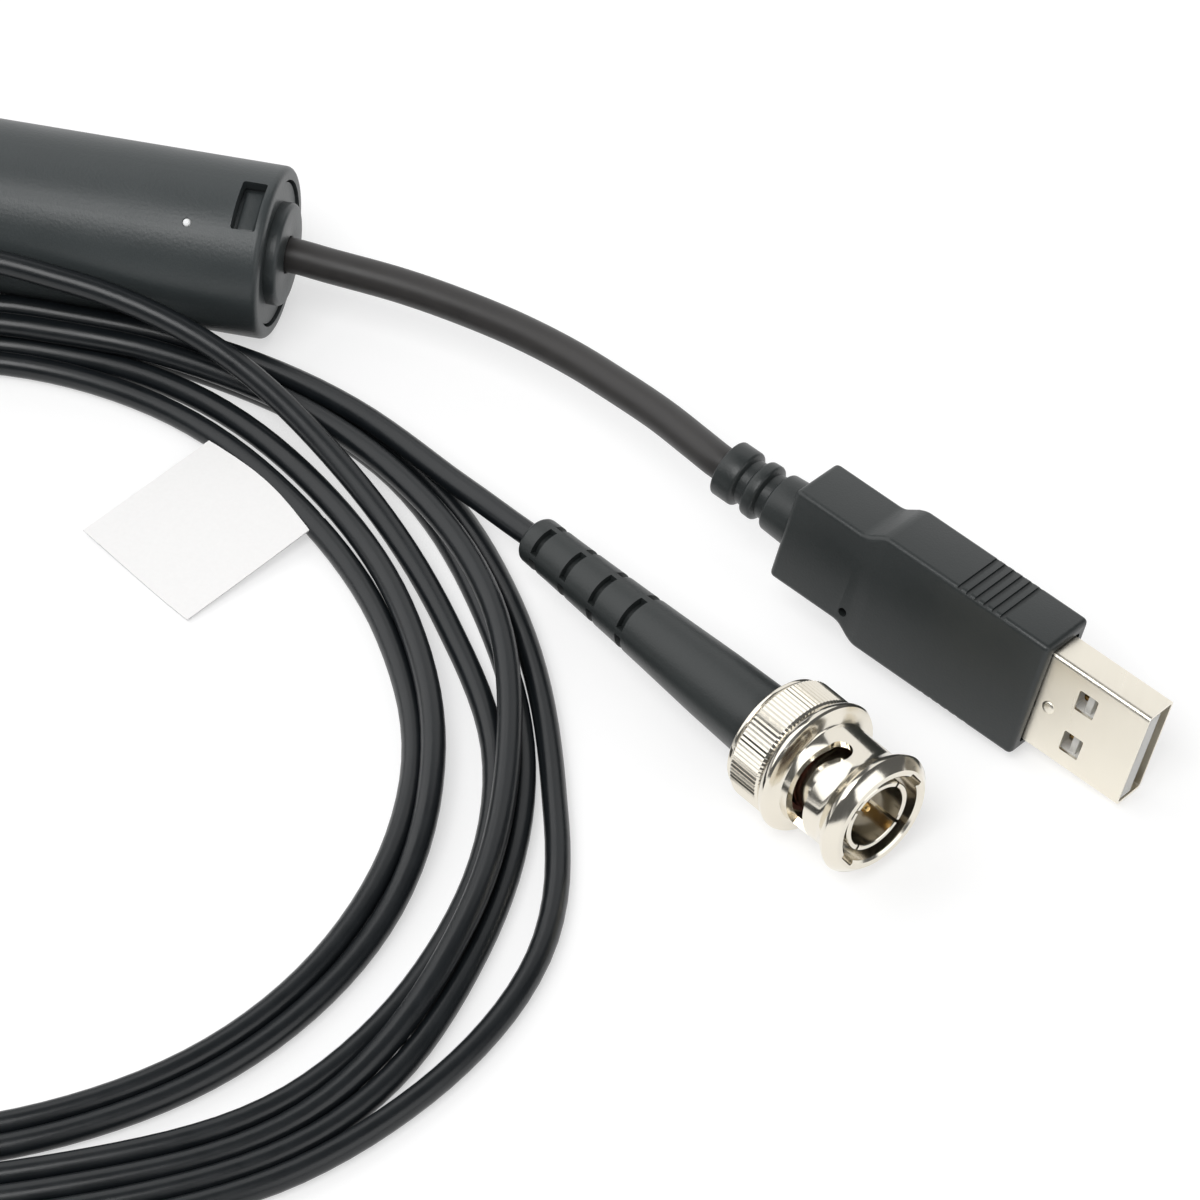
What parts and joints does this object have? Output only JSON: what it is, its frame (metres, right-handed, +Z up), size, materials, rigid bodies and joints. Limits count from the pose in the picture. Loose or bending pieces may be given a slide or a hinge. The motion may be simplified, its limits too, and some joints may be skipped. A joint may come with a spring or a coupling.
{
  "type": "usb to bnc probe interface lead",
  "caption": "In-line electronics barrel with a USB plug lead on one end and a coiled thin coaxial lead to a bayonet BNC plug on the other.",
  "frame": {"origin": "under the middle of the barrel, on the surface that the part lies on", "axes": "+X along the barrel towards its USB end, +Z up"},
  "size_m": [0.1945, 0.1472, 0.0188],
  "materials": {
    "black_abs": "fine moulded texture",
    "black_pvc": "matte overmould",
    "usb_cable": "satin extruded",
    "coax_cable": "satin extruded",
    "nickel_brass": "nickel plate",
    "nickel_steel": "satin nickel plate",
    "tinned_steel": "tin plate",
    "spring_steel": "bright spring steel",
    "gold_plate": "gold plate",
    "white_nylon": "moulded",
    "ptfe": "turned",
    "silicone": "moulded",
    "clear_acrylic": "clear",
    "green_board": "solder mask",
    "black_epoxy": "moulded",
    "white_paper": "bare paper"
  },
  "bodies": {
    "lead": {"barrel_tube": "black_abs", "usb_end_cap": "black_abs", "coax_end_cap": "black_abs", "usb_cord_clamp": "tinned_steel", "coax_cord_clamp": "tinned_steel", "light_pipe": "clear_acrylic", "circuit_board": "green_board", "usb_controller_chip": "black_epoxy", "signal_amplifier_chip": "black_epoxy", "crystal_can": "tinned_steel", "shield_can": "tinned_steel", "capacitor_1": "tinned_steel", "capacitor_2": "tinned_steel", "status_led": "clear_acrylic", "usb_wire_header": "white_nylon", "coax_wire_header": "white_nylon", "usb_cord": "usb_cable", "usb_overmould": "black_pvc", "usb_inner_mould": "white_nylon", "usb_shell": "nickel_steel", "usb_tongue": "white_nylon", "usb_contact_1": "gold_plate", "usb_contact_2": "gold_plate", "usb_contact_3": "gold_plate", "usb_contact_4": "gold_plate", "coax_lead_in": "coax_cable", "coax_coil": "coax_cable", "coax_lead_out": "coax_cable", "paper_label": "white_paper", "bnc_boot": "black_pvc", "bnc_crimp_ferrule": "nickel_brass", "bnc_body": "nickel_brass", "bnc_gasket": "silicone", "bnc_contact_sleeve": "nickel_brass", "bnc_insulator": "ptfe", "bnc_pin": "gold_plate", "bnc_wave_spring": "spring_steel"},
    "thrust_washer": {"bnc_thrust_washer": "spring_steel"},
    "coupling_nut": {"bnc_coupling_nut": "nickel_brass", "bnc_retaining_ring": "nickel_brass"}
  },
  "joints": [
    {"name": "nut_float", "type": "slide", "parent": "lead", "child": "thrust_washer", "axis": [0.8126, -0.5818, 0.0349], "range_m": [0, 0.0006], "stiffness_N_per_m": 3000, "springref_m": -0.0003},
    {"name": "nut_turn", "type": "hinge", "parent": "thrust_washer", "child": "coupling_nut", "pos_m": [0.11532, -0.06134, 0.0079], "axis": [0.8126, -0.5818, 0.0349], "continuous": true}
  ]
}
